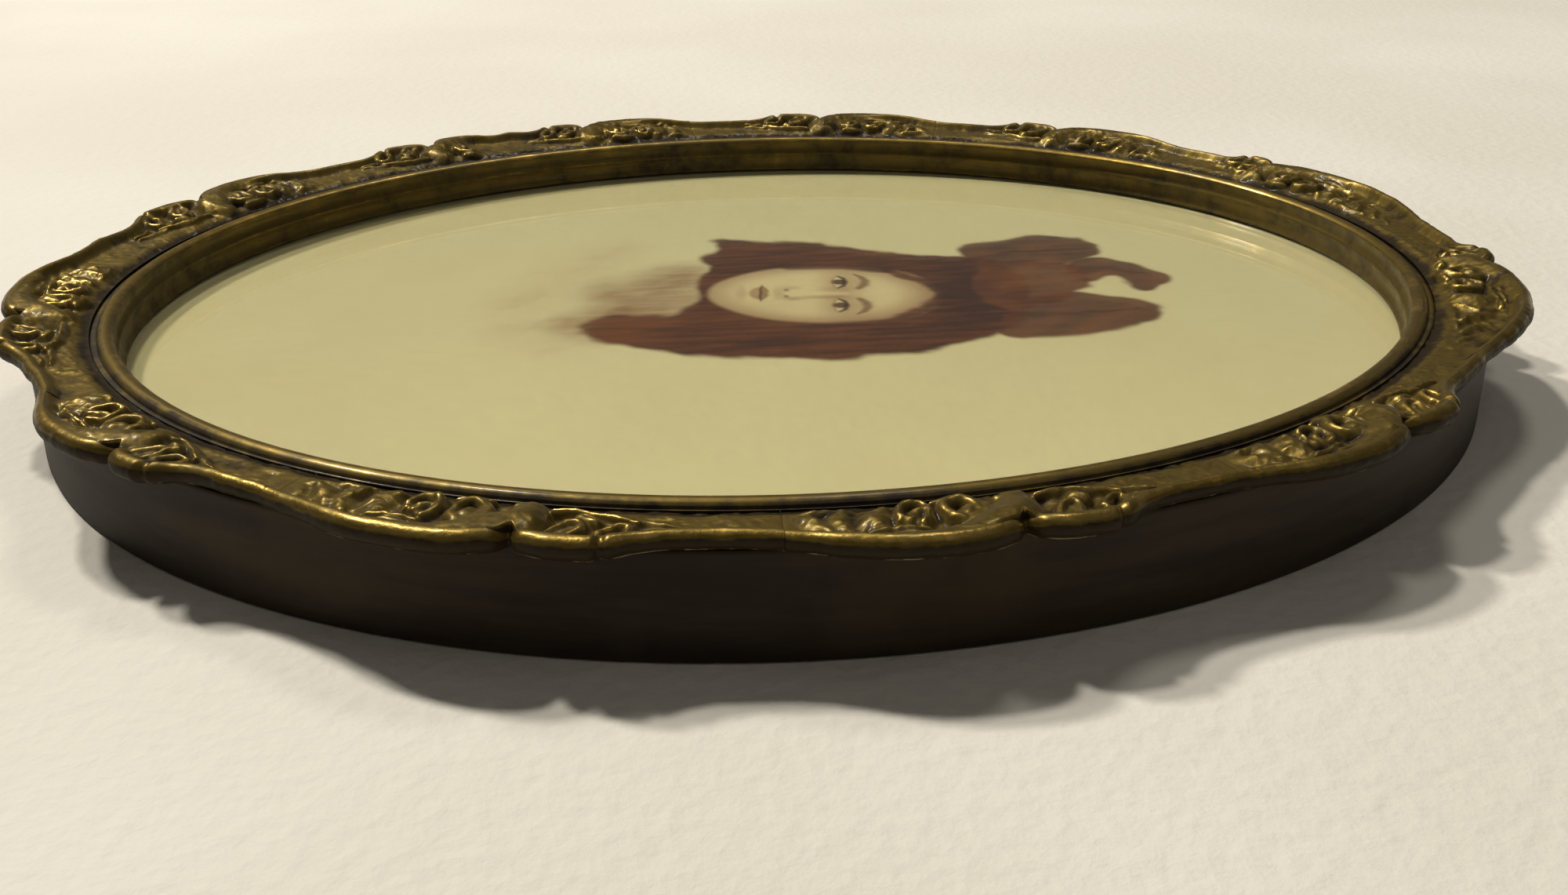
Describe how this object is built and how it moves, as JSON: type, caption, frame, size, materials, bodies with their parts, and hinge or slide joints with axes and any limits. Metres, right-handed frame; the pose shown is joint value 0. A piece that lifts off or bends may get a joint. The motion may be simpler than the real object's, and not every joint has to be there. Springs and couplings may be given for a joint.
{
  "type": "oval picture frame",
  "caption": "Oval table-top picture frame with a pressed scroll ornament in aged gilt, flat glass, a vignette portrait print and a swinging brass hanger ring",
  "frame": {"origin": "centre of the oval, on the plane of the flat back", "axes": "the frame lies on its back, face up: +Z out of the face, +X along the long axis of the oval towards the top of the portrait and the hanger, +Y across"},
  "size_m": [0.2888, 0.2376, 0.022],
  "materials": {
    "stained_wood": "dark brown stain, gold paint on the bead",
    "bare_wood": "bare, aged",
    "clear_glass": "clear flat picture glass",
    "print_paper": "matt cream photographic print",
    "grey_card": "grey-brown mounting card",
    "steel": "dulled wire steel",
    "brass": "dulled brass",
    "gilt_composition": "pressed composition under aged gold paint"
  },
  "bodies": {
    "frame_body": {"rail_right": "stained_wood", "rail_top": "stained_wood", "rail_left": "stained_wood", "rail_bottom": "stained_wood", "joint_dowels": "bare_wood", "glass_pane": "clear_glass", "portrait_print": "print_paper", "mount_card": "grey_card", "backing_board": "bare_wood", "backing_brads": "steel", "hanger_plate": "brass", "hanger_screws": "brass", "ornament_01": "gilt_composition", "ornament_02": "gilt_composition", "ornament_03": "gilt_composition", "ornament_04": "gilt_composition", "ornament_05": "gilt_composition", "ornament_06": "gilt_composition", "ornament_07": "gilt_composition", "ornament_08": "gilt_composition", "ornament_09": "gilt_composition", "ornament_10": "gilt_composition", "ornament_11": "gilt_composition", "ornament_12": "gilt_composition"},
    "ring": {"hanger_ring": "brass"}
  },
  "joints": [
    {"name": "hanger_ring_swing", "type": "hinge", "parent": "frame_body", "child": "ring", "pos_m": [0.1259, 0, 0.0016], "axis": [0, -1, 0], "range_deg": [0, 150]}
  ]
}
